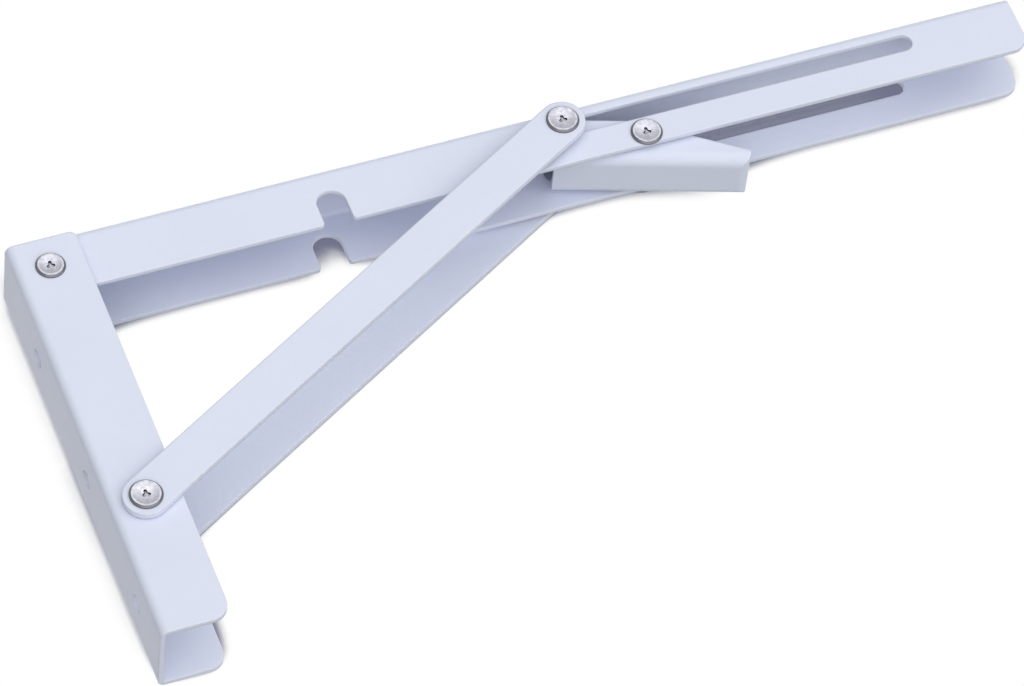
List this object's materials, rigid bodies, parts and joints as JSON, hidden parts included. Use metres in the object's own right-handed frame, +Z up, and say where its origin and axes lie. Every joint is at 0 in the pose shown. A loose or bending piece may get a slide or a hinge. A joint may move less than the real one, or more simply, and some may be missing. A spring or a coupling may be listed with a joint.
{
  "type": "folding shelf bracket",
  "caption": "Folding shelf bracket of folded steel channel: slotted shelf arm, wall arm and diagonal brace on rivets, with a spring latch lever that locks it open.",
  "frame": {"origin": "on the wall face of the wall arm, midway across, level with the corner pivot", "axes": "+X runs away from the wall along the shelf arm, +Z is up, towards the shelf, and Y runs across the bracket; drawn open and locked"},
  "size_m": [0.2985, 0.032, 0.1333],
  "materials": {
    "coated_steel": "satin powder coat",
    "plated_rivet": "bright zinc plate",
    "plated_spacer": "zinc plate",
    "spring_steel": "drawn wire"
  },
  "bodies": {
    "wall_side": {"wall_arm": "coated_steel", "corner_rivet": "plated_rivet", "foot_rivet": "plated_rivet", "corner_sleeve": "plated_spacer"},
    "shelf_side": {"shelf_arm": "coated_steel", "lever_rivet": "plated_rivet", "lever_spacer_left": "plated_spacer", "lever_spacer_right": "plated_spacer"},
    "brace": {"brace_bar_left": "coated_steel", "brace_bar_right": "coated_steel", "slide_rivet_left": "plated_rivet", "slide_rivet_right": "plated_rivet"},
    "slider": {"slide_bush_left": "plated_spacer", "slide_bush_right": "plated_spacer", "slide_washer_left": "plated_spacer", "slide_washer_right": "plated_spacer"},
    "lever": {"release_lever": "coated_steel", "lever_spring": "spring_steel"}
  },
  "joints": [
    {"name": "shelf_fold", "type": "hinge", "parent": "wall_side", "child": "shelf_side", "pos_m": [0.01, 0, 0], "axis": [0, 1, 0], "range_deg": [0, 90]},
    {"name": "brace_swing", "type": "hinge", "parent": "wall_side", "child": "brace", "pos_m": [0.01, 0, -0.081], "axis": [0, 1, 0], "range_deg": [0, 118.1]},
    {"name": "pin_slide", "type": "slide", "parent": "shelf_side", "child": "slider", "axis": [1, 0, 0], "range_m": [0, 0.1032]},
    {"name": "lever_press", "type": "hinge", "parent": "shelf_side", "child": "lever", "pos_m": [0.18319, 0, -0.0043], "axis": [0, -1, 0], "range_deg": [0, 27], "stiffness_Nm_per_rad": 0.05, "springref_deg": -22.92, "deforming": ["lever_spring"]}
  ],
  "couplings": [
    {"joint": "brace_swing", "follows": "shelf_fold", "ratio": 1.3121},
    {"joint": "pin_slide", "follows": "shelf_fold", "m_per_rad": 0.065678}
  ]
}
